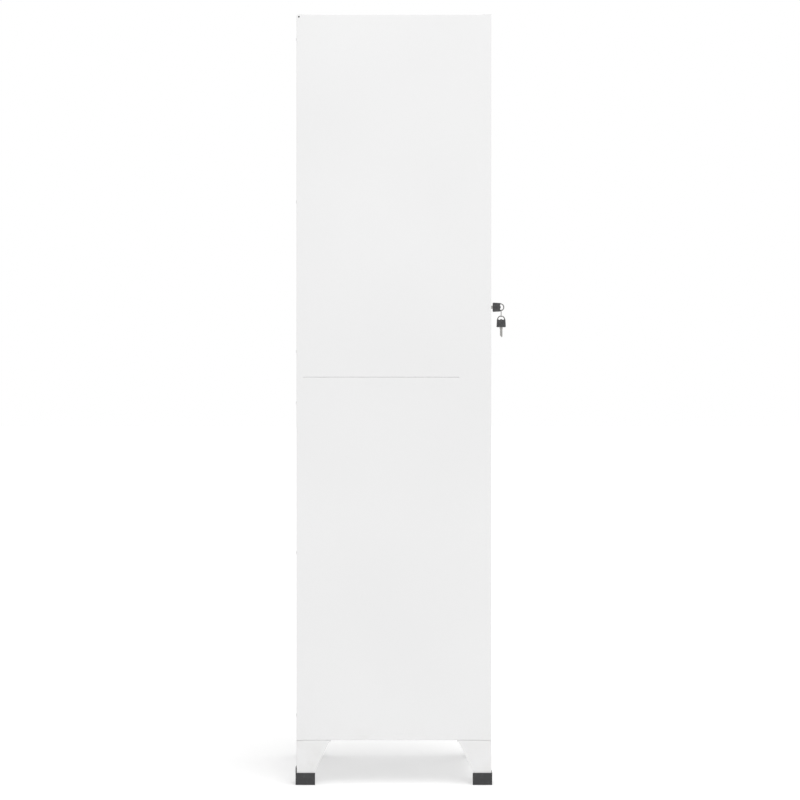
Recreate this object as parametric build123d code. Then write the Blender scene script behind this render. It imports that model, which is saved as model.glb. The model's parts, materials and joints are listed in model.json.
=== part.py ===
from build123d import *
import os
from math import sqrt

# Steel locker cabinet: one full-height door on pivot pins, a cam lock with two keys on a ring,
# sides and back of half-height panels bolted at a seam, four folded legs in plastic caps.
# Millimetres. +Z up, the door faces -Y, the hinge is on the +X side.
# The origin is on the floor, under the middle of the whole cabinet with its keys.

# ---- driving dimensions ----
WIDTH = 380.0
DEPTH = 455.0
HEIGHT = 1800.0
CASE_BOTTOM = 104.0
SEAM_Z = (CASE_BOTTOM + HEIGHT) / 2

SHEET = 0.8                 # casing and door
BEND = 0.8                  # inside radius of its tight folds
WIDE_BEND = 1.6             # inside radius of the folds at the top, the bottom and the seam

RETURN = 15.0               # flanges at the back, the top, the bottom and the seam
JAMB_WIDTH = 20.0           # front face of the side panel, beside the door
HEADER_HEIGHT = 30.0        # front face of the top panel, above the door
STOP_SETBACK = 19.5         # front face to the flange the door closes on
STOP_WIDTH = 14.0
JAMB_DEPTH = STOP_SETBACK + SHEET    # front face to the back of the stop flange
SEAM_FRONT = 75.0           # the seam fold stops this far behind the front
SEAM_REAR = 16.0

DOOR_DEPTH = 16.0
DOOR_GAP = 2.5
DOOR_RETURN = 14.0
PIVOT_INSET = 8.0           # hinge edge of the door to the pivot axis
PIVOT_DEPTH = 6.0           # front of the door to the pivot axis
VENT_LENGTH = 110.0
VENT_HEIGHT = 3.5
VENT_PITCH = 15.0
VENTS = 6

SHELF_Z = 1500.0
SHELF_FRONT_GAP = 24.0
RAIL_Z = 1438.0
RAIL_RADIUS = 8.0

LEG_SHEET = 1.5
LEG_FOOT_WIDTH = 42.0
LEG_TOP_WIDTH = 80.0
LEG_SLANT_START = 30.5      # height where the taper begins
LEG_SLANT = 0.49            # widening per unit of height
LEG_FLARE = 3.4             # height of the full-width strip at the top
LEG_FLANGE = 24.0
CAP_WIDTH = 45.6
CAP_HEIGHT = 28.0
CAP_FLOOR = 3.0
CAP_PROUD = 2.2             # cap outer face beyond the casing
TAB_HEIGHT = 13.0           # tab of the rear caps above the cap's rim

LOCK_X = -137.5
LOCK_Z = 1118.0
LOCK_RADIUS = 8.0
LOCK_LENGTH = 21.5          # long enough for the cam to pass behind the stop flange
PLUG_RADIUS = 5.5
RUNNING = 0.05              # radial clearance of turning pins and plugs
BEZEL_RADIUS = 10.5
BEZEL_HEIGHT = 2.0
CAM_LENGTH = 42.0
CAM_SHEET = 2.0

HEAD_LENGTH = 19.1          # key head, along the key
HEAD_WIDTH = 22.0           # at the blade end
HEAD_NARROW = 20.0          # at the bail end
HEAD_THICKNESS = 6.0
BAIL_RADIUS = 8.25           # centre line of the half ring of wire
BAIL_WIRE = 1.25
BAIL_SINK = 1.0             # half ring's centre inside the head
SHOULDER_LENGTH = 3.6       # head to the shoulder
SHOULDER_WIDTH = 7.4
BLADE_LENGTH = 20.2         # shoulder to tip
BLADE_WIDTH = 6.0
BLADE_THICKNESS = 2.0
SHOULDER_GAP = 2.1          # door face to the shoulder of the inserted key
RING_RADIUS = 8.6
RING_WIRE = 0.6
RING_GAP = 1.0              # key head to the middle of the ring's wire
HANG_GAP = 0.37             # between linked wires

# ---- places that follow ----
HEAD_END = SHOULDER_GAP + SHOULDER_LENGTH + HEAD_LENGTH
KEY_REACH = HEAD_END + RING_GAP + HEAD_WIDTH / 2
REAR = (DEPTH + KEY_REACH) / 2
FRONT = REAR - DEPTH
HALF = WIDTH / 2
INNER = HALF - SHEET
OPENING_HALF = HALF - JAMB_WIDTH
DOOR_HALF = OPENING_HALF - DOOR_GAP
DOOR_TOP = HEIGHT - HEADER_HEIGHT - DOOR_GAP
DOOR_BOTTOM = CASE_BOTTOM + HEADER_HEIGHT + DOOR_GAP
CAP_WALL = LEG_SHEET + 2 * CAP_PROUD    # thickness of each arm of a cap
PIVOT_X = DOOR_HALF - PIVOT_INSET
PIVOT_Y = FRONT + PIVOT_DEPTH
MIDDLE_Y = (FRONT + REAR) / 2
FLANGE_X = HALF - 8.5       # bolt line in the side flanges
RIVET_X = HALF - 7.5        # rivet line in the rear returns

SEAM_BOLT_YS = (FRONT + 110, MIDDLE_Y, REAR - 60)
BACK_BOLT_XS = (-90.0, 0.0, 90.0)
ROOF_SCREW_YS = (FRONT + 60, MIDDLE_Y, REAR - 60)
RIVET_HEIGHTS = (60.0, 410.0, 790.0)    # above and below the seam
LEG_BOLT_STEPS = (30.0, 68.0)           # from the casing's front or back face
ANCHOR_XS = (-120.0, 120.0)
ANCHOR_Z = 1740.0
BUFFER_ZS = (400.0, SEAM_Z, 1500.0)

MID_PLANE = Plane.XY.offset(SEAM_Z)
DEPTH_PLANE = Plane.XZ.offset(-MIDDLE_Y)


# ---- helpers ----
def offset_line(points, distance):
    """Points of the line that runs a constant distance to the left of a line of points."""
    vectors = [Vector(*point) for point in points]
    runs = [(b - a).normalized() for a, b in zip(vectors, vectors[1:])]
    lefts = [Vector(-run.Y, run.X) for run in runs]
    shifted = [vectors[0] + lefts[0] * distance]
    for corner, before, after in zip(vectors[1:-1], lefts, lefts[1:]):
        shifted.append(corner + (before + after) * (distance / (1 + before.dot(after))))
    shifted.append(vectors[-1] + lefts[-1] * distance)
    return [(point.X, point.Y) for point in shifted]


def turns_left(points):
    """For each inner point of a line, whether the line bends to the left there."""
    answers = []
    for a, b, c in zip(points, points[1:], points[2:]):
        cross = (b[0] - a[0]) * (c[1] - b[1]) - (b[1] - a[1]) * (c[0] - b[0])
        answers.append(cross > 0)
    return answers


def folded(points, thickness=SHEET, bend=BEND):
    """End view of folded sheet: one face follows the points, the metal is on their left."""
    lefts = turns_left(points)
    near = [bend + thickness if left else bend for left in lefts]
    far = [bend if left else bend + thickness for left in lefts]
    outline = list(points) + offset_line(points, thickness)[::-1]
    radii = [0, *near, 0, 0, *far[::-1], 0]
    return make_face(FilletPolyline(*outline, radius=radii, close=True))


def along_x(face, x0, x1):
    """Solid from a face drawn in (Y, Z), between two X planes."""
    return extrude(Plane.YZ.offset(x0) * face, amount=x1 - x0)


def along_y(face, y0, y1):
    """Solid from a face drawn in (X, Z), between two Y planes."""
    return extrude(Plane.XZ.offset(-y1) * face, amount=y1 - y0)


def along_z(face, z0, z1):
    """Solid from a face drawn in (X, Y), between two Z planes."""
    return extrude(Plane.XY.offset(z0) * face, amount=z1 - z0)


def block(x0, x1, y0, y1, z0, z1):
    """Box between three pairs of planes."""
    return Pos((x0 + x1) / 2, (y0 + y1) / 2, (z0 + z1) / 2) * Box(x1 - x0, y1 - y0, z1 - z0)


def rod(start, direction, radius, length):
    """Round bar from a point along a direction."""
    return extrude(Plane(origin=start, z_dir=direction) * Circle(radius), amount=length)


def hexagon(start, direction, across_flats, length):
    """Hexagonal bar from a point along a direction."""
    section = RegularPolygon(across_flats / 2, 6, major_radius=False)
    return extrude(Plane(origin=start, z_dir=direction) * section, amount=length)


def mirror_x(shape):
    """Copy on the other side of the cabinet."""
    return mirror(shape, about=Plane.YZ)


def save(name, *pieces):
    """One STEP file per node; a node of several loose pieces keeps them as separate solids."""
    solids = [solid for piece in pieces for solid in piece.solids()]
    shape = solids[0] if len(solids) == 1 else Compound(children=solids)
    export_step(shape, f"parts/{name}.step")


# ---- casing ----
def make_side():
    """Upper left side panel: web, door jamb, rear return, top flange and seam flange."""
    jamb = folded([
        (-HALF, FRONT + JAMB_DEPTH),
        (-HALF, FRONT),
        (-OPENING_HALF, FRONT),
        (-OPENING_HALF, FRONT + STOP_SETBACK),
        (-OPENING_HALF + STOP_WIDTH, FRONT + STOP_SETBACK),
    ])
    rear = folded([
        (-HALF + RETURN, REAR),
        (-HALF, REAR),
        (-HALF, REAR - SEAM_REAR),
    ])
    topped = folded([
        (-HALF + RETURN, HEIGHT),
        (-HALF, HEIGHT),
        (-HALF, SEAM_Z),
    ], bend=WIDE_BEND)
    flanged = folded([
        (-HALF + RETURN, HEIGHT),
        (-HALF, HEIGHT),
        (-HALF, SEAM_Z),
        (-HALF + RETURN, SEAM_Z),
    ], bend=WIDE_BEND)
    panel = along_z(jamb, SEAM_Z, HEIGHT)
    panel += along_z(rear, SEAM_Z, HEIGHT)
    panel += along_y(topped, FRONT + JAMB_DEPTH, FRONT + SEAM_FRONT)
    panel += along_y(flanged, FRONT + SEAM_FRONT, REAR - SEAM_REAR)
    panel += block(
        -HALF + 1, -OPENING_HALF, FRONT + 1, FRONT + JAMB_DEPTH, HEIGHT - SHEET, HEIGHT
    )
    panel -= block(
        -OPENING_HALF, -OPENING_HALF + STOP_WIDTH + 1, FRONT + STOP_SETBACK - 1,
        FRONT + STOP_SETBACK + 2, HEIGHT - 2 * SHEET - 0.2, HEIGHT + 1,
    )
    return panel


def corner_relief():
    """What is cut from the side's upper rear corner: a rounded tip and a relief hole for the folds."""
    tip = Pos(0, REAR, HEIGHT) * Rot(0, 90, 0) * Box(12, 12, WIDTH)
    tip -= Pos(0, REAR - 6, HEIGHT - 6) * Rot(0, 90, 0) * Cylinder(6, WIDTH)
    return tip + rod((-HALF - 1, REAR - 5.6, HEIGHT - 6), (1, 0, 0), 2.0, 3)


def make_top():
    """Top panel: roof, rear flange, and the header above the door with its own stop."""
    roof_z = HEIGHT - SHEET
    header_z = HEIGHT - HEADER_HEIGHT
    section = folded([
        (REAR, roof_z - RETURN),
        (REAR, roof_z),
        (FRONT, roof_z),
        (FRONT, header_z),
        (FRONT + STOP_SETBACK, header_z),
        (FRONT + STOP_SETBACK, header_z - STOP_WIDTH),
    ])
    panel = along_x(section, -OPENING_HALF + 0.1, OPENING_HALF - 0.1)
    for side in (-1, 1):
        inner, outer = sorted((side * (OPENING_HALF - 0.5), side * (INNER - WIDE_BEND - 0.2)))
        panel += block(
            inner, outer, FRONT + JAMB_DEPTH + 0.5, REAR - 3, roof_z - SHEET, roof_z
        )
        inner, outer = sorted((side * (OPENING_HALF - STOP_WIDTH - 0.1), side * OPENING_HALF))
        panel -= block(
            inner, outer, FRONT + STOP_SETBACK - 1.5, FRONT + JAMB_WIDTH + 3,
            header_z - STOP_WIDTH - 1, header_z + 2,
        )
    return panel


def make_back():
    """Upper back panel: flat sheet with a flange at the seam."""
    face_y = REAR - SHEET
    section = folded([
        (face_y - RETURN, SEAM_Z),
        (face_y, SEAM_Z),
        (face_y, SEAM_Z + 40),
    ], bend=WIDE_BEND)
    panel = along_x(section, -HALF + RETURN + 1, HALF - RETURN - 1)
    edge = INNER - 1.2
    return panel + block(
        -edge, edge, face_y - SHEET, face_y, SEAM_Z + SHEET + WIDE_BEND, HEIGHT - 3
    )


def make_shelf():
    """Hat shelf: folded front edge and a short flange at the back."""
    front = FRONT + SHELF_FRONT_GAP
    rear = REAR - 4
    section = folded([
        (rear, SHELF_Z - RETURN),
        (rear, SHELF_Z),
        (front, SHELF_Z),
        (front, SHELF_Z - 25),
        (front + 12, SHELF_Z - 25),
    ])
    return along_x(section, -INNER + 0.6, INNER - 0.6)


def make_shelf_bracket():
    """Left shelf bracket: an angle welded to the side, under the shelf."""
    top = SHELF_Z - SHEET
    section = folded([(-INNER + 18, top), (-INNER, top), (-INNER, top - 18)], 1.2, 1.0)
    return along_y(section, FRONT + 60, REAR - 40)


def make_rail_socket():
    """Left rail socket: a flanged cup welded to the side."""
    cup = rod((-INNER, MIDDLE_Y, RAIL_Z), (1, 0, 0), 17, 1.5)
    cup += rod((-INNER, MIDDLE_Y, RAIL_Z), (1, 0, 0), RAIL_RADIUS + 2, 14)
    cup -= rod((-INNER + 1.5, MIDDLE_Y, RAIL_Z), (1, 0, 0), RAIL_RADIUS + 0.1, 20)
    return fillet(cup.edges().filter_by(GeomType.CIRCLE).group_by(Axis.X)[-1], 0.5)


def make_rail():
    """Hanging rail: a steel tube between the two sockets."""
    reach = INNER - 1.7
    tube = rod((-reach, MIDDLE_Y, RAIL_Z), (1, 0, 0), RAIL_RADIUS, 2 * reach)
    return tube - rod((-reach, MIDDLE_Y, RAIL_Z), (1, 0, 0), RAIL_RADIUS - 1, 2 * reach)


def wing_outline(height):
    """Tapered wing of a leg, drawn from the leg's corner: (distance along the wing, height)."""
    flare = CASE_BOTTOM - LEG_FLARE
    flare_width = LEG_FOOT_WIDTH + (flare - LEG_SLANT_START) * LEG_SLANT
    outline = FilletPolyline(
        (0, CAP_FLOOR),
        (LEG_FOOT_WIDTH, CAP_FLOOR),
        (LEG_FOOT_WIDTH, LEG_SLANT_START),
        (flare_width, flare),
        (LEG_TOP_WIDTH, flare),
        (LEG_TOP_WIDTH, height),
        (0, height),
        radius=[0, 0, 10, 5, 0, 0, 0],
        close=True,
    )
    return make_face(outline)


def make_leg():
    """Front left leg: two tapered wings folded at the corner and a flange under the casing."""
    corner = folded(
        [(-HALF, FRONT + LEG_TOP_WIDTH), (-HALF, FRONT), (-HALF + LEG_TOP_WIDTH, FRONT)],
        LEG_SHEET, 1.5,
    )
    wings = along_z(corner, CAP_FLOOR, CASE_BOTTOM)
    side_wing = along_x(Pos(FRONT, 0) * wing_outline(CASE_BOTTOM), -HALF, -HALF + 5)
    front_wing = along_y(Pos(-HALF, 0) * wing_outline(CASE_BOTTOM), FRONT, FRONT + 5)
    leg = wings & (side_wing + front_wing)
    flange_z = CASE_BOTTOM - LEG_SHEET
    flange = block(
        -HALF + 1, -HALF + LEG_FLANGE, FRONT + 1, FRONT + LEG_TOP_WIDTH, flange_z, CASE_BOTTOM
    )
    flange += block(
        -HALF + 1, -HALF + LEG_TOP_WIDTH, FRONT + 1, FRONT + LEG_FLANGE, flange_z, CASE_BOTTOM
    )
    leg += flange
    top_edges = leg.edges().filter_by_position(Axis.Z, CASE_BOTTOM - 0.01, CASE_BOTTOM + 0.01)
    outer = [
        edge for edge in top_edges
        if abs(edge.center().X + HALF) < 0.9 or abs(edge.center().Y - FRONT) < 0.9
    ]
    leg = fillet(outer, 2.6)
    for step in LEG_BOLT_STEPS:
        leg -= rod((-FLANGE_X, FRONT + step, flange_z - 1), (0, 0, 1), 3.2, 5)
    return leg


def make_cap(with_tab):
    """Front left foot cap: an L-shaped moulding with a slot for the leg."""
    near = -HALF - CAP_PROUD
    front = FRONT - CAP_PROUD
    outline = FilletPolyline(
        (near, front),
        (near + CAP_WIDTH, front),
        (near + CAP_WIDTH, front + CAP_WALL),
        (near + CAP_WALL, front + CAP_WALL),
        (near + CAP_WALL, front + CAP_WIDTH),
        (near, front + CAP_WIDTH),
        radius=[2.0, 1.2, 1.2, 2.0, 1.2, 1.2],
        close=True,
    )
    cap = along_z(make_face(outline), 0, CAP_HEIGHT)
    cap = fillet(cap.faces().sort_by(Axis.Z)[-1].edges(), 0.8)
    cap = chamfer(cap.faces().sort_by(Axis.Z)[0].edges(), 0.6)
    if with_tab:
        tab_top = CAP_HEIGHT + TAB_HEIGHT
        tab = block(near + 3, near + 25, front, front + CAP_PROUD, CAP_HEIGHT - 3, tab_top)
        cap += fillet(tab.faces().sort_by(Axis.Z)[-1].edges().filter_by(Axis.Y), 3)
    slot = folded(
        [
            (-HALF, FRONT + LEG_FOOT_WIDTH + 0.1),
            (-HALF, FRONT),
            (-HALF + LEG_FOOT_WIDTH + 0.1, FRONT),
        ],
        LEG_SHEET, 1.5,
    )
    return cap - along_z(slot, CAP_FLOOR, CAP_HEIGHT + 30)


side_upper = make_side()
side_lower = mirror(side_upper, about=MID_PLANE)
side_upper -= corner_relief()
top_panel = make_top()
bottom_panel = mirror(top_panel, about=MID_PLANE)
back_upper = make_back()
back_lower = mirror(back_upper, about=MID_PLANE)

# holes through the stacked sheets
for y in SEAM_BOLT_YS:
    hole = rod((-FLANGE_X, y, SEAM_Z - 5), (0, 0, 1), 2.7, 10)
    side_upper -= hole
    side_lower -= hole
for y in ROOF_SCREW_YS:
    hole = rod((-FLANGE_X, y, HEIGHT - 5), (0, 0, 1), 2.1, 10)
    side_upper -= hole
    top_panel -= hole
    top_panel -= mirror_x(hole)
for step in LEG_BOLT_STEPS:
    for y in (FRONT + step, REAR - step):
        hole = rod((-FLANGE_X, y, CASE_BOTTOM - 5), (0, 0, 1), 3.2, 10)
        side_lower -= hole
        bottom_panel -= hole
        bottom_panel -= mirror_x(hole)
for height in RIVET_HEIGHTS:
    for side in (-1, 1):
        upper_hole = rod((side * RIVET_X, REAR - 5, SEAM_Z + height), (0, 1, 0), 2.0, 10)
        lower_hole = rod((side * RIVET_X, REAR - 5, SEAM_Z - height), (0, 1, 0), 2.0, 10)
        back_upper -= upper_hole
        back_lower -= lower_hole
        if side < 0:
            side_upper -= upper_hole
            side_lower -= lower_hole
for x in BACK_BOLT_XS:
    hole = rod((x, REAR - 9, SEAM_Z - 5), (0, 0, 1), 2.7, 10)
    back_upper -= hole
    back_lower -= hole
for x in ANCHOR_XS:
    back_upper -= rod((x, REAR - 5, ANCHOR_Z), (0, 1, 0), 4.0, 10)

side_upper_right = mirror_x(side_upper)
side_lower_right = mirror_x(side_lower)

# door buffers, pressed through the strike side's stop flange
buffers = []
for z in BUFFER_ZS:
    face = (-OPENING_HALF + 7, FRONT + STOP_SETBACK, z)
    buffer = fillet(rod(face, (0, -1, 0), 4.5, 3).edges().group_by(Axis.Y)[0], 1.0)
    buffer += rod(face, (0, 1, 0), 2.0, SHEET)
    buffer += rod((face[0], face[1] + SHEET, z), (0, 1, 0), 2.8, 1.5)
    buffers.append(buffer)
    stem_hole = rod((face[0], face[1] - 2, z), (0, 1, 0), 2.0, 6)
    if z > SEAM_Z:
        side_upper -= stem_hole
    elif z < SEAM_Z:
        side_lower -= stem_hole
    else:
        side_upper -= stem_hole
        side_lower -= stem_hole

# hinge bushes in the header and the sill
BUSH_RADIUS = 4.5
PIN_RADIUS = 3.0
header_z = HEIGHT - HEADER_HEIGHT
bush_top = rod((PIVOT_X, PIVOT_Y, header_z - 2.2), (0, 0, 1), 5.2, 2.2)
bush_top += rod((PIVOT_X, PIVOT_Y, header_z), (0, 0, 1), BUSH_RADIUS, 6)
bush_top -= rod((PIVOT_X, PIVOT_Y, header_z - 5), (0, 0, 1), PIN_RADIUS + RUNNING, 15)
bush_bottom = mirror(bush_top, about=MID_PLANE)
bush_hole = rod((PIVOT_X, PIVOT_Y, header_z - 1), (0, 0, 1), BUSH_RADIUS, 4)
top_panel -= bush_hole
bottom_panel -= mirror(bush_hole, about=MID_PLANE)

# fasteners of the casing
seam_bolts = []
seam_nuts = []
seam_points = [(side * FLANGE_X, y) for side in (-1, 1) for y in SEAM_BOLT_YS]
seam_points += [(x, REAR - 9) for x in BACK_BOLT_XS]
for x, y in seam_points:
    bolt = hexagon((x, y, SEAM_Z + SHEET), (0, 0, 1), 8, 3.5)
    bolt += rod((x, y, SEAM_Z - 9), (0, 0, 1), 2.5, 9 + SHEET)
    nut = hexagon((x, y, SEAM_Z - SHEET), (0, 0, -1), 8, 4)
    seam_bolts.append(bolt)
    seam_nuts.append(nut - rod((x, y, SEAM_Z), (0, 0, -1), 2.5, 10))

roof_screws = []
for x in (-FLANGE_X, FLANGE_X):
    for y in ROOF_SCREW_YS:
        head = rod((x, y, HEIGHT - 2 * SHEET), (0, 0, -1), 4, 2.2)
        head = fillet(head.edges().group_by(Axis.Z)[0], 1.0)
        roof_screws.append(head + rod((x, y, HEIGHT - 2 * SHEET), (0, 0, 1), 2.0, 2 * SHEET))

leg_bolts = []
leg_nuts = []
for x in (-FLANGE_X, FLANGE_X):
    for step in LEG_BOLT_STEPS:
        for y in (FRONT + step, REAR - step):
            under = CASE_BOTTOM - LEG_SHEET
            floor = CASE_BOTTOM + 2 * SHEET
            bolt = hexagon((x, y, under), (0, 0, -1), 10, 4)
            leg_bolts.append(bolt + rod((x, y, under), (0, 0, 1), 3.0, floor + 7 - under))
            nut = hexagon((x, y, floor), (0, 0, 1), 10, 5)
            leg_nuts.append(nut - rod((x, y, floor), (0, 0, 1), 3.0, 6))

back_rivets = []
for side in (-1, 1):
    for height in RIVET_HEIGHTS:
        for z in (SEAM_Z - height, SEAM_Z + height):
            point = (side * RIVET_X, REAR, z)
            head = fillet(rod(point, (0, 1, 0), 3.8, 1.4).edges().group_by(Axis.Y)[-1], 1.0)
            shank = rod(point, (0, -1, 0), 2.0, 2 * SHEET)
            tail = rod((point[0], REAR - 2 * SHEET, z), (0, -1, 0), 2.9, 1.4)
            back_rivets.append(head + shank + tail)

rail_socket = make_rail_socket()
shelf_bracket = make_shelf_bracket()
leg = make_leg()
leg_rear = mirror(leg, about=DEPTH_PLANE)
cap_front = make_cap(False)
cap_rear = mirror(make_cap(True), about=DEPTH_PLANE)


# ---- door ----
def make_door():
    """Door pan: skin, four edges, returns on the long edges, vents and the lock hole."""
    back = FRONT + DOOR_DEPTH
    section = folded([
        (-DOOR_HALF + DOOR_RETURN, back),
        (-DOOR_HALF, back),
        (-DOOR_HALF, FRONT),
        (DOOR_HALF, FRONT),
        (DOOR_HALF, back),
        (DOOR_HALF - DOOR_RETURN, back),
    ])
    door = along_z(section, DOOR_BOTTOM, DOOR_TOP)
    for low in (DOOR_BOTTOM, DOOR_TOP - SHEET):
        door += block(
            -DOOR_HALF + SHEET / 2, DOOR_HALF - SHEET / 2, FRONT + SHEET / 2, back - SHEET / 2,
            low, low + SHEET,
        )
    for start, step in ((DOOR_TOP - 60, -VENT_PITCH), (DOOR_BOTTOM + 60, VENT_PITCH)):
        for row in range(VENTS):
            slot = Pos(0, start + row * step) * SlotOverall(VENT_LENGTH, VENT_HEIGHT)
            door -= along_y(slot, FRONT - 1, FRONT + 2)
    door -= rod((LOCK_X, FRONT - 1, LOCK_Z), (0, 1, 0), LOCK_RADIUS, 3)
    for low in (DOOR_BOTTOM - 1, DOOR_TOP - 2):
        door -= rod((PIVOT_X, PIVOT_Y, low), (0, 0, 1), PIN_RADIUS, 3)
    return door


def make_stiffener():
    """Hat-section channel welded behind the door skin, between the two groups of vents."""
    skin = FRONT + SHEET
    section = folded([
        (-40, skin), (-25, skin), (-25, skin + 12), (25, skin + 12), (25, skin), (40, skin)
    ])
    ends = 60 + VENTS * VENT_PITCH + 40
    return along_z(section, DOOR_BOTTOM + ends, DOOR_TOP - ends)


def make_pin():
    """Upper pivot pin: its head is under the door's top edge, its shank runs in the bush."""
    under = DOOR_TOP - SHEET
    pin = rod((PIVOT_X, PIVOT_Y, under), (0, 0, -1), 4.8, 2.5)
    pin += rod((PIVOT_X, PIVOT_Y, under), (0, 0, 1), PIN_RADIUS, 10)
    return chamfer(pin.edges().group_by(Axis.Z)[-1], 0.6)


def make_lock_body():
    """Threaded lock body with its round bezel, bored for the plug."""
    body = rod((LOCK_X, FRONT, LOCK_Z), (0, 1, 0), LOCK_RADIUS, LOCK_LENGTH)
    bezel = rod((LOCK_X, FRONT, LOCK_Z), (0, -1, 0), BEZEL_RADIUS, BEZEL_HEIGHT)
    bezel = chamfer(bezel.edges().group_by(Axis.Y)[0], 1.0)
    body += bezel
    return body - rod((LOCK_X, FRONT - 5, LOCK_Z), (0, 1, 0), PLUG_RADIUS + RUNNING, 30)


def make_lock_plug():
    """Plug with a keyway from the front and a square tail for the cam."""
    front = FRONT - BEZEL_HEIGHT + 0.1
    seat = FRONT + LOCK_LENGTH + 1.2
    plug = rod((LOCK_X, front, LOCK_Z), (0, 1, 0), PLUG_RADIUS, seat - front)
    plug = chamfer(plug.edges().group_by(Axis.Y)[0], 0.3)
    plug += block(LOCK_X - 3, LOCK_X + 3, seat - 1, seat + CAM_SHEET, LOCK_Z - 3, LOCK_Z + 3)
    keyway_end = FRONT - SHOULDER_GAP + BLADE_LENGTH + 0.6
    plug -= block(
        LOCK_X - 1.2, LOCK_X + 1.2, front - 1, keyway_end, LOCK_Z - 3.1, LOCK_Z + 3.1
    )
    return plug - rod((LOCK_X, seat + CAM_SHEET, LOCK_Z), (0, -1, 0), 1.6, 4)


def make_cam():
    """Cam: a rounded bar on the plug's square tail, hanging down while the lock is open."""
    seat = FRONT + LOCK_LENGTH + 1.2
    bar = Pos(LOCK_X, LOCK_Z - CAM_LENGTH / 2 + 7) * Rot(0, 0, 90) * SlotOverall(CAM_LENGTH + 7, 14)
    cam = along_y(bar, seat, seat + CAM_SHEET)
    return cam - block(LOCK_X - 3, LOCK_X + 3, seat - 1, seat + 5, LOCK_Z - 3, LOCK_Z + 3)


def make_cam_screw():
    """Screw that holds the cam on the plug."""
    seat = FRONT + LOCK_LENGTH + 1.2 + CAM_SHEET
    head = rod((LOCK_X, seat, LOCK_Z), (0, 1, 0), 4.4, 2.4)
    head = fillet(head.edges().group_by(Axis.Y)[-1], 0.8)
    head -= block(
        LOCK_X - 5, LOCK_X + 5, seat + 1.6, seat + 3, LOCK_Z - 0.5, LOCK_Z + 0.5
    )
    return head + rod((LOCK_X, seat, LOCK_Z), (0, -1, 0), 1.6, 3.8)


pin_top = make_pin()
lock_nut = hexagon((LOCK_X, FRONT + SHEET, LOCK_Z), (0, 1, 0), 21, 3)
lock_nut -= rod((LOCK_X, FRONT, LOCK_Z), (0, 1, 0), LOCK_RADIUS, 10)


# ---- keys ----
# Drawn with the bail end of the head at the origin, the blade towards +Y and the flat in YZ.
def make_blade():
    """Key blade: broad shoulder at the head, cuts along one edge, pointed tip."""
    shoulder = HEAD_LENGTH + SHOULDER_LENGTH
    half = BLADE_WIDTH / 2
    outline = Polyline(
        (HEAD_LENGTH - 6, -half),
        (shoulder + BLADE_LENGTH - 5, -half),
        (shoulder + BLADE_LENGTH, 0.8),
        (shoulder + BLADE_LENGTH - 2, half),
        (HEAD_LENGTH - 6, half),
        close=True,
    )
    blade = make_face(outline)
    blade += Pos(HEAD_LENGTH, 0) * RectangleRounded(2 * SHOULDER_LENGTH, SHOULDER_WIDTH, 1.2)
    for cut in range(4):
        notch = Pos(shoulder + 4 + cut * 3, -half - 0.4) * Rot(0, 0, 45) * Rectangle(1.6, 1.6)
        blade -= notch
    return along_x(blade, -BLADE_THICKNESS / 2, BLADE_THICKNESS / 2)


def bail_path():
    """Centre line of the bail: two legs in the head and a half circle outside it."""
    legs = 6.0
    start = (0, BAIL_SINK + legs, -BAIL_RADIUS)
    left = (0, BAIL_SINK, -BAIL_RADIUS)
    top = (0, BAIL_SINK - BAIL_RADIUS, 0)
    right = (0, BAIL_SINK, BAIL_RADIUS)
    end = (0, BAIL_SINK + legs, BAIL_RADIUS)
    return Line(start, left) + ThreePointArc(left, top, right) + Line(right, end)


def make_bail():
    """Half ring of wire with both ends in the head."""
    path = bail_path()
    section = Plane(origin=path @ 0, z_dir=path % 0) * Circle(BAIL_WIRE)
    return sweep(section, path=path)


def make_head(blade, bail):
    """Plastic head: slightly tapered, ribbed on both faces, dipped beside a bump at the bail end."""
    outline = FilletPolyline(
        (0, -HEAD_NARROW / 2),
        (HEAD_LENGTH, -HEAD_WIDTH / 2),
        (HEAD_LENGTH, HEAD_WIDTH / 2),
        (0, HEAD_NARROW / 2),
        radius=1.8,
        close=True,
    )
    face = make_face(outline)
    for side in (-1, 1):
        face -= Pos(-2.4, side * 4.4) * Circle(3.8)
    head = along_x(face, -HEAD_THICKNESS / 2, HEAD_THICKNESS / 2)
    rims = head.faces().filter_by(Axis.X).edges()
    head = fillet(rims, 0.6)
    for rib in range(4):
        y = 4.5 + rib * 3
        for x in (-HEAD_THICKNESS / 2, HEAD_THICKNESS / 2):
            head -= block(x - 0.35, x + 0.35, y - 0.6, y + 0.6, -7.5, 7.5)
    return head - blade - bail


blade = make_blade()
bail = make_bail()
head = make_head(blade, bail)

key_place = Pos(LOCK_X, FRONT - HEAD_END, LOCK_Z)
ring_y = FRONT - HEAD_END - RING_GAP
reach = RING_GAP + BAIL_SINK
link_z = LOCK_Z - sqrt(BAIL_RADIUS ** 2 - reach ** 2)
ring_z = link_z + BAIL_WIRE + HANG_GAP + RING_WIRE - RING_RADIUS
spare_link_z = ring_z - RING_RADIUS
spare_top = spare_link_z + RING_WIRE + HANG_GAP + BAIL_WIRE
# turned over, so that its cuts face the door
spare_place = Pos(LOCK_X, ring_y, spare_top - BAIL_RADIUS + BAIL_SINK) * Rot(-90, 0, 0) * Rot(0, 180, 0)
key_ring = Pos(LOCK_X, ring_y, ring_z) * Rot(90, 0, 0) * Torus(RING_RADIUS, RING_WIRE)

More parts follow.
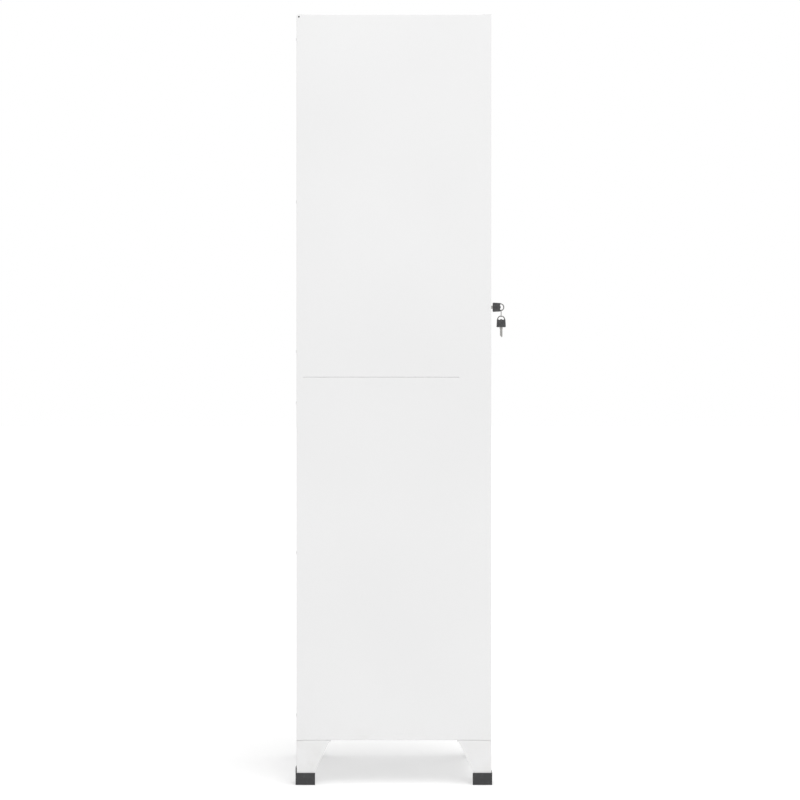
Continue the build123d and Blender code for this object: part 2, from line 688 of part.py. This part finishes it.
# ---- files ----
os.makedirs("parts", exist_ok=True)
save("side_left_upper", side_upper)
save("side_left_lower", side_lower)
save("side_right_upper", side_upper_right)
save("side_right_lower", side_lower_right)
save("back_upper", back_upper)
save("back_lower", back_lower)
save("top_panel", top_panel)
save("bottom_panel", bottom_panel)
save("hat_shelf", make_shelf())
save("shelf_bracket_left", shelf_bracket)
save("shelf_bracket_right", mirror_x(shelf_bracket))
save("hanging_rail", make_rail())
save("rail_socket_left", rail_socket)
save("rail_socket_right", mirror_x(rail_socket))
for place, leg_piece, cap_piece in (("front", leg, cap_front), ("rear", leg_rear, cap_rear)):
    save(f"leg_{place}_left", leg_piece)
    save(f"leg_{place}_right", mirror_x(leg_piece))
    save(f"foot_cap_{place}_left", cap_piece)
    save(f"foot_cap_{place}_right", mirror_x(cap_piece))
save("seam_bolts", *seam_bolts)
save("seam_nuts", *seam_nuts)
save("roof_screws", *roof_screws)
save("leg_bolts", *leg_bolts)
save("leg_nuts", *leg_nuts)
save("back_rivets", *back_rivets)
save("door_buffers", *buffers)
save("hinge_bush_top", bush_top)
save("hinge_bush_bottom", bush_bottom)
save("door_pan", make_door())
save("door_stiffener", make_stiffener())
save("pivot_pin_top", pin_top)
save("pivot_pin_bottom", mirror(pin_top, about=MID_PLANE))
save("lock_body", make_lock_body())
save("lock_nut", lock_nut)
save("lock_plug", make_lock_plug())
save("lock_cam", make_cam())
save("cam_screw", make_cam_screw())
save("key_blade", key_place * blade)
save("key_head", key_place * head)
save("key_bail", key_place * bail)
save("key_ring", key_ring)
save("spare_key_blade", spare_place * blade)
save("spare_key_head", spare_place * head)
save("spare_key_bail", spare_place * bail)
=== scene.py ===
"""Steel locker cabinet: materials, split ring, floor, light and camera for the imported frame."""
import json
import math

import bmesh
import bpy
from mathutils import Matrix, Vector


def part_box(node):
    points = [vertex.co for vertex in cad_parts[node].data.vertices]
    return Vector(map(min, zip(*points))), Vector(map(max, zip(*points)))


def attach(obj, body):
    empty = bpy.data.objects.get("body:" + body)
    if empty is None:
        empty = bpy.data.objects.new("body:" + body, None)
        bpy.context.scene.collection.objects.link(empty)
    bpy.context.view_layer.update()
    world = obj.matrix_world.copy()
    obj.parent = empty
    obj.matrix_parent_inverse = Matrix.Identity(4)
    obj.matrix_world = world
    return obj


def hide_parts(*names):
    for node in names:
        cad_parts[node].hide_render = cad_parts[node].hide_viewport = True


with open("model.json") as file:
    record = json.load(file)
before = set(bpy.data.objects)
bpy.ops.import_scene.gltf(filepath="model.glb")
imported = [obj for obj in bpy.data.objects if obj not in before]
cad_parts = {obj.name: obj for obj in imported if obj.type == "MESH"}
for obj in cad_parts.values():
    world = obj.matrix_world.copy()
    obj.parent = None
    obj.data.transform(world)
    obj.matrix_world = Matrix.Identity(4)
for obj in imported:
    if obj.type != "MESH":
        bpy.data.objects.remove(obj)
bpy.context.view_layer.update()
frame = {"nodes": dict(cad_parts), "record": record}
nodes = frame["nodes"]
slots = {entry["node"]: entry["material_slot"] for entry in frame["record"]["subparts"]}

# ---- view ----
CAMERA_DISTANCE = 4.5       # from the near side panel
VIEW_WIDTH = 1.8684         # metres across the frame at that panel
VIEW_HEIGHT_Z = 0.8989      # level camera, height of the frame's middle
VIEW_BEHIND = 0.2418        # frame's middle, forward of the casing's back
SENSOR = 36.0

WHITE = (0.785, 0.785, 0.785)
WHITE_SHADE = (0.755, 0.755, 0.755)     # in the coat's broad waves
PAINTED_PIT_SHADE = (0.7, 0.7, 0.705)          # painted shade in the pits of the orange peel
FLOOR_REACH = 60.0                      # half the floor's width, so its edge is never seen
RING_TURNS = 2
RING_STEPS = 96                         # along each turn
RING_SIDES = 10                         # around the wire
RING_START = 0.6                        # angle of the wire's end, in radians
WIRE_FILL = 0.98                        # share of the ring's box that the two wires take


# ---- node helpers ----
class Paint:
    """One procedural material: a Principled shader and short calls for the nodes that feed it."""

    def __init__(self, name, colour, roughness, metallic=0.0):
        self.material = bpy.data.materials.new(name)
        self.material.use_nodes = True
        self.tree = self.material.node_tree
        self.shader = self.tree.nodes["Principled BSDF"]
        self.shader.inputs["Base Color"].default_value = (*colour, 1)
        self.shader.inputs["Roughness"].default_value = roughness
        self.shader.inputs["Metallic"].default_value = metallic
        self.place = self.tree.nodes.new("ShaderNodeTexCoord").outputs["Object"]
        self.normal = None

    def link(self, output, target):
        self.tree.links.new(output, target)

    def stretched(self, scale):
        """Object coordinates scaled apart along X, Y and Z, for brushed and drawn surfaces."""
        mapping = self.tree.nodes.new("ShaderNodeMapping")
        mapping.inputs["Scale"].default_value = scale
        self.link(self.place, mapping.inputs["Vector"])
        return mapping.outputs["Vector"]

    def noise(self, scale, detail=2.0, rough=0.5, vector=None):
        """Noise with cells of about 1 / scale metres."""
        texture = self.tree.nodes.new("ShaderNodeTexNoise")
        texture.inputs["Scale"].default_value = scale
        texture.inputs["Detail"].default_value = detail
        texture.inputs["Roughness"].default_value = rough
        self.link(vector or self.place, texture.inputs["Vector"])
        return texture.outputs["Fac"]

    def cells(self, scale, vector=None):
        """Random value for each cell of about 1 / scale metres."""
        texture = self.tree.nodes.new("ShaderNodeTexVoronoi")
        texture.inputs["Scale"].default_value = scale
        self.link(vector or self.place, texture.inputs["Vector"])
        split = self.tree.nodes.new("ShaderNodeSeparateColor")
        self.link(texture.outputs["Color"], split.inputs["Color"])
        return split.outputs["Red"]

    def spread(self, value, low, high, to_low=0.0, to_high=1.0):
        """Maps a value from one range to another, held inside it."""
        ramp = self.tree.nodes.new("ShaderNodeMapRange")
        ramp.inputs["From Min"].default_value = low
        ramp.inputs["From Max"].default_value = high
        ramp.inputs["To Min"].default_value = to_low
        ramp.inputs["To Max"].default_value = to_high
        self.link(value, ramp.inputs["Value"])
        return ramp.outputs["Result"]

    def combine(self, operation, first, second):
        """Math node on two outputs or numbers."""
        math_node = self.tree.nodes.new("ShaderNodeMath")
        math_node.operation = operation
        for socket, value in zip(math_node.inputs, (first, second)):
            if isinstance(value, (int, float)):
                socket.default_value = value
            else:
                self.link(value, socket)
        return math_node.outputs["Value"]

    def height(self):
        """Height above the floor, in metres."""
        split = self.tree.nodes.new("ShaderNodeSeparateXYZ")
        self.link(self.place, split.inputs["Vector"])
        return split.outputs["Z"]

    def tint(self, factor, colour):
        """Blends the base colour towards another one where the factor is high."""
        base = self.shader.inputs["Base Color"]
        blend = self.tree.nodes.new("ShaderNodeMix")
        blend.data_type = "RGBA"
        if base.is_linked:
            self.link(base.links[0].from_socket, blend.inputs["A"])
        else:
            blend.inputs["A"].default_value = tuple(base.default_value)
        blend.inputs["B"].default_value = (*colour, 1)
        self.link(factor, blend.inputs["Factor"])
        self.link(blend.outputs["Result"], base)

    def rough(self, value, low, high):
        """Roughness that follows a value between 0.3 and 0.7."""
        self.link(self.spread(value, 0.3, 0.7, low, high), self.shader.inputs["Roughness"])

    def bump(self, height, depth, strength=1.0):
        """Adds a relief of the given depth in metres on top of the earlier ones."""
        relief = self.tree.nodes.new("ShaderNodeBump")
        relief.inputs["Distance"].default_value = depth
        relief.inputs["Strength"].default_value = strength
        self.link(height, relief.inputs["Height"])
        if self.normal is not None:
            self.link(self.normal, relief.inputs["Normal"])
        self.normal = relief.outputs["Normal"]
        self.link(self.normal, self.shader.inputs["Normal"])


# ---- materials ----
def powder_coat():
    """Satin white powder coat on sheet steel: orange peel with painted shade in its pits, faint
    waves, handling marks.
    """
    paint = Paint("powder_coat", WHITE, 0.4)
    paint.shader.inputs["Specular IOR Level"].default_value = 0.45
    waves = paint.noise(2.2, 1.0)
    peel = paint.noise(700, 2.0, 0.55)
    marks = paint.noise(14, 4.0, 0.6)
    paint.tint(paint.spread(waves, 0.35, 0.65, 0.0, 0.7), WHITE_SHADE)
    # painted shade: the pits of the orange peel are tinted darker, whatever the light
    paint.tint(paint.spread(peel, 0.52, 0.32, 0.0, 0.35), PAINTED_PIT_SHADE)
    near_floor = paint.spread(paint.height(), 0.16, 0.02)
    dust = paint.combine("MULTIPLY", near_floor, paint.spread(marks, 0.45, 0.7))
    paint.tint(paint.combine("MULTIPLY", dust, 0.35), (0.62, 0.6, 0.57))
    paint.rough(marks, 0.34, 0.48)
    paint.bump(waves, 0.0015, 0.25)
    paint.bump(peel, 0.00012, 0.8)
    return paint.material


def moulded_plastic(name, colour, worn, roughness, grain):
    """Moulded plastic with a fine spark-eroded grain and slightly paler worn patches."""
    paint = Paint(name, colour, roughness)
    paint.shader.inputs["Specular IOR Level"].default_value = 0.4
    patches = paint.noise(90, 4.0, 0.6)
    paint.tint(paint.spread(patches, 0.5, 0.75), worn)
    paint.rough(patches, roughness - 0.08, roughness + 0.1)
    paint.bump(paint.noise(grain, 2.0, 0.6), 0.00009, 0.6)
    paint.bump(patches, 0.0002, 0.2)
    return paint.material


def zinc_plate():
    """Bright zinc plate with its small spangle."""
    paint = Paint("zinc_steel", (0.66, 0.67, 0.68), 0.34, 1.0)
    spangle = paint.cells(1400)
    paint.tint(paint.spread(spangle, 0.0, 1.0, 0.0, 0.6), (0.5, 0.52, 0.55))
    paint.rough(paint.noise(300, 3.0), 0.26, 0.44)
    paint.bump(spangle, 0.00003, 0.4)
    return paint.material


def brushed_metal(name, colour, dark, roughness, grain):
    """Plated metal with fine lines; grain is the coordinate scale along X, Y and Z."""
    paint = Paint(name, colour, roughness, 1.0)
    lines = paint.noise(1.0, 3.0, 0.6, paint.stretched(grain))
    stains = paint.noise(160, 4.0, 0.6)
    paint.tint(paint.spread(lines, 0.4, 0.7, 0.0, 0.5), dark)
    paint.tint(paint.spread(stains, 0.55, 0.8, 0.0, 0.4), dark)
    paint.rough(stains, roughness - 0.08, roughness + 0.12)
    paint.bump(lines, 0.00004, 0.5)
    return paint.material


def nylon():
    """Natural nylon: slightly translucent, faintly mottled."""
    paint = Paint("nylon", (0.84, 0.82, 0.76), 0.45)
    paint.shader.inputs["Subsurface Weight"].default_value = 0.15
    paint.shader.inputs["Subsurface Scale"].default_value = 0.001
    mottle = paint.noise(700, 3.0)
    paint.tint(paint.spread(mottle, 0.4, 0.7), (0.76, 0.74, 0.68))
    paint.rough(mottle, 0.38, 0.54)
    paint.bump(mottle, 0.00005, 0.4)
    return paint.material


materials = {
    "powder_coat": powder_coat(),
    "cap_plastic": moulded_plastic(
        "cap_plastic", (0.036, 0.036, 0.038), (0.062, 0.062, 0.065), 0.52, 1500
    ),
    "zinc_steel": zinc_plate(),
    "rail_chrome": brushed_metal(
        "rail_chrome", (0.8, 0.8, 0.81), (0.6, 0.6, 0.62), 0.16, (60, 4000, 4000)
    ),
    "lock_nickel": brushed_metal(
        "lock_nickel", (0.72, 0.7, 0.67), (0.5, 0.48, 0.46), 0.28, (3000, 3000, 400)
    ),
    "key_plastic": moulded_plastic(
        "key_plastic", (0.058, 0.058, 0.06), (0.1, 0.1, 0.103), 0.42, 2600
    ),
    "key_steel": brushed_metal(
        "key_steel", (0.44, 0.435, 0.42), (0.27, 0.265, 0.255), 0.3, (4000, 1200, 1200)
    ),
    "key_wire": brushed_metal(
        "key_wire", (0.26, 0.257, 0.248), (0.15, 0.148, 0.142), 0.28, (1500, 1500, 1500)
    ),
    "nylon": nylon(),
    "buffer_rubber": moulded_plastic(
        "buffer_rubber", (0.16, 0.16, 0.165), (0.24, 0.24, 0.245), 0.72, 1200
    ),
}

# the bails are bent from a darker wire than the blades
for name, cad in nodes.items():
    cad.data.materials.clear()
    finish = "key_wire" if name.endswith("bail") else slots[name]
    cad.data.materials.append(materials[finish])


# ---- split ring ----
def split_ring():
    """Two flat turns of wire side by side, one stepping over to the other, inside the ring's box."""
    low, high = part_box("key_ring")
    centre = (low + high) / 2
    half_thick = (high.y - low.y) / 2
    wire = half_thick / 2
    radius = (high.x - low.x) / 2 - wire
    mesh = bmesh.new()
    loops = []
    for step in range(RING_TURNS * RING_STEPS + 1):
        turn = step / RING_STEPS
        angle = 2 * math.pi * turn + RING_START
        across = max(-1.0, min(1.0, (turn - 1.0) * 8))
        out = Vector((math.sin(angle), 0, math.cos(angle)))
        middle = centre + out * radius + Vector((0, across * wire, 0))
        loop = []
        for side in range(RING_SIDES):
            swing = 2 * math.pi * side / RING_SIDES
            offset = out * (math.cos(swing) * wire * WIRE_FILL)
            offset += Vector((0, math.sin(swing) * wire * WIRE_FILL, 0))
            loop.append(mesh.verts.new(middle + offset))
        loops.append(loop)
    for first, second in zip(loops, loops[1:]):
        for side in range(RING_SIDES):
            after = (side + 1) % RING_SIDES
            mesh.faces.new((first[side], first[after], second[after], second[side]))
    mesh.faces.new(loops[0][::-1])
    mesh.faces.new(loops[-1])
    bmesh.ops.recalc_face_normals(mesh, faces=mesh.faces)
    for face in mesh.faces:
        face.smooth = len(face.verts) == 4
    data = bpy.data.meshes.new("split_ring")
    mesh.to_mesh(data)
    mesh.free()
    ring = bpy.data.objects.new("split_ring", data)
    bpy.context.scene.collection.objects.link(ring)
    data.materials.append(materials["key_steel"])
    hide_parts("key_ring")
    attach(ring, "ring")


split_ring()


# ---- floor ----
def make_floor():
    """Wide pale floor that glows a little, so that shadows on it stay faint."""
    mesh = bmesh.new()
    signs = ((-1, -1), (1, -1), (1, 1), (-1, 1))
    corners = [mesh.verts.new((x * FLOOR_REACH, y * FLOOR_REACH, 0)) for x, y in signs]
    mesh.faces.new(corners)
    data = bpy.data.meshes.new("floor")
    mesh.to_mesh(data)
    mesh.free()
    floor = bpy.data.objects.new("floor", data)
    bpy.context.scene.collection.objects.link(floor)
    paint = Paint("floor", (0.7, 0.7, 0.7), 0.8)
    paint.shader.inputs["Emission Color"].default_value = (1, 1, 1, 1)
    paint.shader.inputs["Emission Strength"].default_value = 0.32
    grain = paint.noise(35, 3.0)
    paint.rough(grain, 0.75, 0.85)
    paint.bump(grain, 0.0003, 0.15)
    data.materials.append(paint.material)


make_floor()


# ---- light ----
def aim(light, place, target):
    """Puts a light at a place, facing a target."""
    bpy.context.scene.collection.objects.link(light)
    light.location = place
    light.rotation_mode = "QUATERNION"
    light.rotation_quaternion = (Vector(target) - Vector(place)).to_track_quat("-Z", "Y")


def area_light(name, place, target, size, power):
    """Soft square light aimed at a point."""
    lamp = bpy.data.lights.new(name, "AREA")
    lamp.shape = "SQUARE"
    lamp.size = size
    lamp.energy = power
    aim(bpy.data.objects.new(name, lamp), place, target)


def sky_light(name, direction, strength, softness):
    """Very soft light from far away, even over the whole floor; softness in degrees."""
    lamp = bpy.data.lights.new(name, "SUN")
    lamp.energy = strength
    lamp.angle = math.radians(softness)
    aim(bpy.data.objects.new(name, lamp), direction, (0, 0, 0))


sky_light("overhead", (-1.6, -1.2, 6.0), 1.35, 50)
area_light("side_light", (-2.6, -0.3, 2.9), (0, 0, 1.5), 1.6, 11.5)
area_light("front_light", (1.2, -2.8, 1.8), (0, 0, 1.0), 1.4, 2)

# white backdrop for the camera, a dimmer even surround for everything else
world = bpy.data.worlds.new("studio")
world.use_nodes = True
world_nodes = world.node_tree.nodes
surround = world_nodes["Background"]
surround.inputs["Color"].default_value = (1, 1, 1, 1)
surround.inputs["Strength"].default_value = 0.7
backdrop = world_nodes.new("ShaderNodeBackground")
backdrop.inputs["Color"].default_value = (1, 1, 1, 1)
backdrop.inputs["Strength"].default_value = 1.0
chooser = world_nodes.new("ShaderNodeMixShader")
rays = world_nodes.new("ShaderNodeLightPath")
world.node_tree.links.new(rays.outputs["Is Camera Ray"], chooser.inputs[0])
world.node_tree.links.new(surround.outputs[0], chooser.inputs[1])
world.node_tree.links.new(backdrop.outputs[0], chooser.inputs[2])
world.node_tree.links.new(chooser.outputs[0], world_nodes["World Output"].inputs["Surface"])
bpy.context.scene.world = world

# ---- camera ----
camera_data = bpy.data.cameras.new("camera")
camera_data.sensor_width = SENSOR
camera_data.lens = SENSOR * CAMERA_DISTANCE / VIEW_WIDTH
camera = bpy.data.objects.new("camera", camera_data)
bpy.context.scene.collection.objects.link(camera)
side_low, side_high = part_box("side_left_upper")
camera.location = (side_low.x - CAMERA_DISTANCE, side_high.y - VIEW_BEHIND, VIEW_HEIGHT_Z)
camera.rotation_euler = (math.radians(90), 0, math.radians(-90))     # level, looking along +X
bpy.context.scene.camera = camera

bpy.context.scene.view_settings.view_transform = "Standard"
